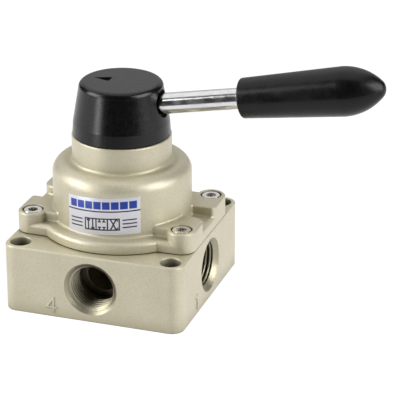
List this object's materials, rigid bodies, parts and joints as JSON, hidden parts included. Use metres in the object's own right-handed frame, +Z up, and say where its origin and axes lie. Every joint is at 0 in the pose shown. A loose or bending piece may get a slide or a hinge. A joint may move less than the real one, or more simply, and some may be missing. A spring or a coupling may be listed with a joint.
{
  "type": "hand lever air valve",
  "caption": "Rotary disc air valve with a square port block, round screwed cover, turning hub and a side lever with a tapered grip for switching air by hand.",
  "frame": {"origin": "middle of the port block's underside", "axes": "+Z up along the spindle, +X along the lever in its middle position, a port in the middle of each of the -Y, +X, +Y and -X sides"},
  "size_m": [0.1547, 0.0804, 0.1119],
  "materials": {
    "painted_casting": "champagne metallic paint on an aluminium casting, satin",
    "bright_screw": "nickel plated",
    "seal_rubber": "matt",
    "ground_steel": "ground",
    "bearing_bronze": "turned",
    "spring_steel": "drawn wire",
    "hub_black": "satin black",
    "rod_chrome": "polished",
    "grip_black": "semi-gloss black",
    "insert_brass": "turned"
  },
  "bodies": {
    "valve_body": {"base_block": "painted_casting", "valve_cover": "painted_casting", "cover_screws": "bright_screw", "cover_seal": "seal_rubber", "port_plate": "ground_steel", "plate_dowels": "ground_steel", "port_seals": "seal_rubber", "neck_bush": "bearing_bronze", "wiper_ring": "seal_rubber", "thrust_washer": "bearing_bronze", "stop_pin": "ground_steel"},
    "lever": {"spindle": "ground_steel", "spindle_seal": "seal_rubber", "rotor_disc": "bearing_bronze", "drive_pins": "ground_steel", "rotor_spring": "spring_steel", "lever_hub": "hub_black", "lever_rod": "rod_chrome", "lever_grip": "grip_black", "grip_insert": "insert_brass", "detent_spring_a": "spring_steel", "detent_spring_b": "spring_steel"},
    "ball_a": {"detent_ball_a": "ground_steel"},
    "ball_b": {"detent_ball_b": "ground_steel"}
  },
  "joints": [
    {"name": "lever_turn", "type": "hinge", "parent": "valve_body", "child": "lever", "pos_m": [0, 0, 0.0832], "axis": [0, 0, 1], "range_deg": [-45, 45]},
    {"name": "ball_a_slide", "type": "slide", "parent": "lever", "child": "ball_a", "axis": [0, 0, 1], "range_m": [-0.0009, 0], "stiffness_N_per_m": 50, "springref_m": -0.003, "deforming": ["detent_spring_a"]},
    {"name": "ball_b_slide", "type": "slide", "parent": "lever", "child": "ball_b", "axis": [0, 0, 1], "range_m": [-0.0009, 0], "stiffness_N_per_m": 50, "springref_m": -0.003, "deforming": ["detent_spring_b"]}
  ],
  "couplings": [
    {"joint": "ball_b_slide", "follows": "ball_a_slide", "ratio": 1}
  ]
}
